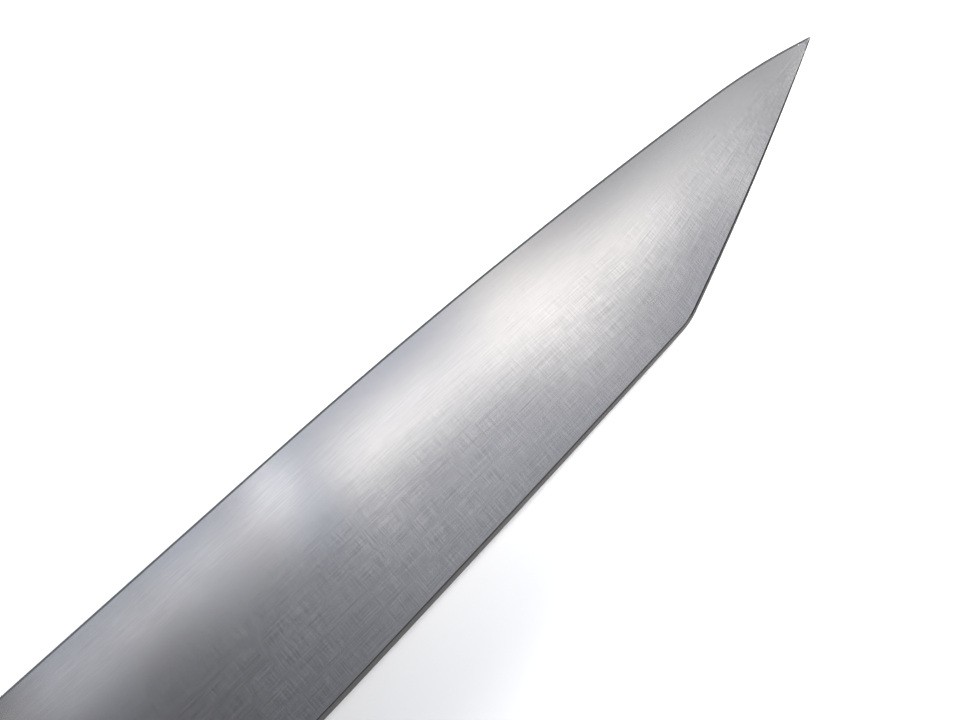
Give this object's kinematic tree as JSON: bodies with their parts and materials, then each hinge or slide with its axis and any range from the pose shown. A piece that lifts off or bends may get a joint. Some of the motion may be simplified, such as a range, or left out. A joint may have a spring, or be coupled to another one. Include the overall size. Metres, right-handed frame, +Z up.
{
  "type": "boning knife",
  "caption": "Angular boning knife: wedge-ground steel blade with a straight edge, angled point and full tang, between riveted wooden scales and bolster halves.",
  "frame": {"origin": "middle of the knife's outline, on the flat of the right scale that it rests on", "axes": "+X along the handle to the point, +Y from the back to the cutting edge, +Z up out of the blade's left face"},
  "size_m": [0.2752, 0.0368, 0.017],
  "materials": {
    "blade_steel": "satin, ground and then finely rubbed along the blade",
    "bolster_steel": "fine brushed",
    "scale_wood": "dark resin-filled hardwood, satin",
    "rivet_steel": "ground flush, polished"
  },
  "bodies": {
    "root": {"blade": "blade_steel", "bolster_left": "bolster_steel", "bolster_right": "bolster_steel", "scale_left": "scale_wood", "scale_right": "scale_wood", "rivet_front_stem": "rivet_steel", "rivet_front_socket": "rivet_steel", "rivet_middle_stem": "rivet_steel", "rivet_middle_socket": "rivet_steel", "rivet_rear_stem": "rivet_steel", "rivet_rear_socket": "rivet_steel"}
  },
  "joints": []
}
